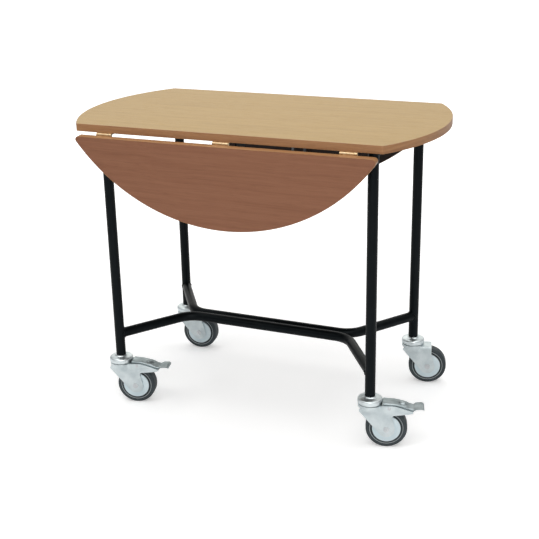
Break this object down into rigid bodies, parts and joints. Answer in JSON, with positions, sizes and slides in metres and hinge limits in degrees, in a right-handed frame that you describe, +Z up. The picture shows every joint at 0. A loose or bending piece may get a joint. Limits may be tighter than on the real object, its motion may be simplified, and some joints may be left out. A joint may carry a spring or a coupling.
{
  "type": "food service trolley",
  "caption": "Drop-leaf round table trolley: fixed centre board, folding leaves, black tube frame with splayed base and swivel castors.",
  "frame": {"origin": "on the floor, under the middle of the top", "axes": "+Z up, +X along the hinge lines, the front leaf and the braked castors towards -Y"},
  "size_m": [0.9259, 0.5508, 0.75],
  "materials": {
    "walnut_laminate": "satin wood-grain laminate",
    "edge_banding": "satin wood-grain edging",
    "black_frame": "black powder coat",
    "black_brackets": "black powder coat",
    "steel_screws": "zinc plate",
    "brass_hinges": "brass plate",
    "brass_screws": "brass plate",
    "prop_bar": "black powder coat",
    "zinc_stems": "bright zinc plate",
    "zinc_pressings": "bright zinc plate",
    "bearing_steel": "polished",
    "zinc_rivets": "bright zinc plate",
    "guard_discs": "bright zinc plate, slightly dished",
    "wheel_cores": "moulded",
    "grey_tyres": "matt grey thermoplastic rubber",
    "pedal_steel": "bright zinc plate"
  },
  "bodies": {
    "frame": {"centre_top": "walnut_laminate", "centre_edge_band": "edge_banding", "leg_front_left": "black_frame", "leg_front_right": "black_frame", "leg_rear_left": "black_frame", "leg_rear_right": "black_frame", "side_rail_left": "black_frame", "side_rail_right": "black_frame", "base_tube_front": "black_frame", "base_tube_rear": "black_frame", "top_fixing_screws": "steel_screws", "front_hinge_fixed_flaps": "brass_hinges", "rear_hinge_fixed_flaps": "brass_hinges", "hinge_pins": "brass_hinges", "hinge_top_screws": "brass_screws", "prop_bracket_front": "black_brackets", "prop_bracket_rear": "black_brackets", "prop_bracket_screws": "steel_screws", "castor_stems": "zinc_stems", "castor_head_caps": "zinc_pressings", "swivel_balls": "bearing_steel"},
    "front_leaf": {"front_leaf": "walnut_laminate", "front_leaf_edge_band": "edge_banding", "front_hinge_leaf_flaps": "brass_hinges", "front_leaf_screws": "brass_screws", "front_prop_catch": "black_brackets"},
    "rear_leaf": {"rear_leaf": "walnut_laminate", "rear_leaf_edge_band": "edge_banding", "rear_hinge_leaf_flaps": "brass_hinges", "rear_leaf_screws": "brass_screws", "rear_prop_catch": "black_brackets"},
    "front_prop": {"front_prop": "prop_bar"},
    "rear_prop": {"rear_prop": "prop_bar"},
    "castor_front_left": {"fork_front_left": "zinc_pressings", "axle_front_left": "zinc_rivets", "thread_guards_front_left": "guard_discs", "pedal_pin_front_left": "zinc_rivets"},
    "wheel_front_left": {"wheel_core_front_left": "wheel_cores", "tyre_front_left": "grey_tyres"},
    "pedal_front_left": {"brake_pedal_front_left": "pedal_steel"},
    "castor_front_right": {"fork_front_right": "zinc_pressings", "axle_front_right": "zinc_rivets", "thread_guards_front_right": "guard_discs", "pedal_pin_front_right": "zinc_rivets"},
    "wheel_front_right": {"wheel_core_front_right": "wheel_cores", "tyre_front_right": "grey_tyres"},
    "pedal_front_right": {"brake_pedal_front_right": "pedal_steel"},
    "castor_rear_left": {"fork_rear_left": "zinc_pressings", "axle_rear_left": "zinc_rivets", "thread_guards_rear_left": "guard_discs"},
    "wheel_rear_left": {"wheel_core_rear_left": "wheel_cores", "tyre_rear_left": "grey_tyres"},
    "castor_rear_right": {"fork_rear_right": "zinc_pressings", "axle_rear_right": "zinc_rivets", "thread_guards_rear_right": "guard_discs"},
    "wheel_rear_right": {"wheel_core_rear_right": "wheel_cores", "tyre_rear_right": "grey_tyres"}
  },
  "joints": [
    {"name": "front_leaf_hinge", "type": "hinge", "parent": "frame", "child": "front_leaf", "pos_m": [0, -0.2535, 0.7279], "axis": [-1, 0, 0], "range_deg": [0, 94.3]},
    {"name": "rear_leaf_hinge", "type": "hinge", "parent": "frame", "child": "rear_leaf", "pos_m": [0, 0.2535, 0.7279], "axis": [1, 0, 0], "range_deg": [0, 94.3]},
    {"name": "front_prop_pivot", "type": "hinge", "parent": "frame", "child": "front_prop", "pos_m": [0, -0.2285, 0.6679], "axis": [-1, 0, 0], "range_deg": [0, 116.16]},
    {"name": "rear_prop_pivot", "type": "hinge", "parent": "frame", "child": "rear_prop", "pos_m": [0, 0.2285, 0.6679], "axis": [1, 0, 0], "range_deg": [0, 116.16]},
    {"name": "swivel_front_left", "type": "hinge", "parent": "frame", "child": "castor_front_left", "pos_m": [-0.34063, -0.19, 0.1], "axis": [0, 0, 1], "continuous": true},
    {"name": "wheel_front_left", "type": "hinge", "parent": "castor_front_left", "child": "wheel_front_left", "pos_m": [-0.30182, -0.18032, 0.05], "axis": [-0.2419, 0.9703, 0], "continuous": true},
    {"name": "pedal_front_left", "type": "hinge", "parent": "castor_front_left", "child": "pedal_front_left", "pos_m": [-0.296, -0.17887, 0.106], "axis": [-0.2419, 0.9703, 0], "range_deg": [0, 10]},
    {"name": "swivel_front_right", "type": "hinge", "parent": "frame", "child": "castor_front_right", "pos_m": [0.34063, -0.19, 0.1], "axis": [0, 0, 1], "continuous": true},
    {"name": "wheel_front_right", "type": "hinge", "parent": "castor_front_right", "child": "wheel_front_right", "pos_m": [0.37888, -0.1783, 0.05], "axis": [-0.2924, 0.9563, 0], "continuous": true},
    {"name": "pedal_front_right", "type": "hinge", "parent": "castor_front_right", "child": "pedal_front_right", "pos_m": [0.38462, -0.17655, 0.106], "axis": [-0.2924, 0.9563, 0], "range_deg": [0, 10]},
    {"name": "swivel_rear_left", "type": "hinge", "parent": "frame", "child": "castor_rear_left", "pos_m": [-0.34063, 0.19, 0.1], "axis": [0, 0, 1], "continuous": true},
    {"name": "wheel_rear_left", "type": "hinge", "parent": "castor_rear_left", "child": "wheel_rear_left", "pos_m": [-0.30102, 0.19557, 0.05], "axis": [-0.1392, 0.9903, 0], "continuous": true},
    {"name": "swivel_rear_right", "type": "hinge", "parent": "frame", "child": "castor_rear_right", "pos_m": [0.34063, 0.19, 0.1], "axis": [0, 0, 1], "continuous": true},
    {"name": "wheel_rear_right", "type": "hinge", "parent": "castor_rear_right", "child": "wheel_rear_right", "pos_m": [0.37927, 0.20035, 0.05], "axis": [-0.2588, 0.9659, 0], "continuous": true}
  ],
  "couplings": [
    {"joint": "front_prop_pivot", "follows": "front_leaf_hinge", "ratio": 1.2317},
    {"joint": "rear_prop_pivot", "follows": "rear_leaf_hinge", "ratio": 1.2317}
  ]
}
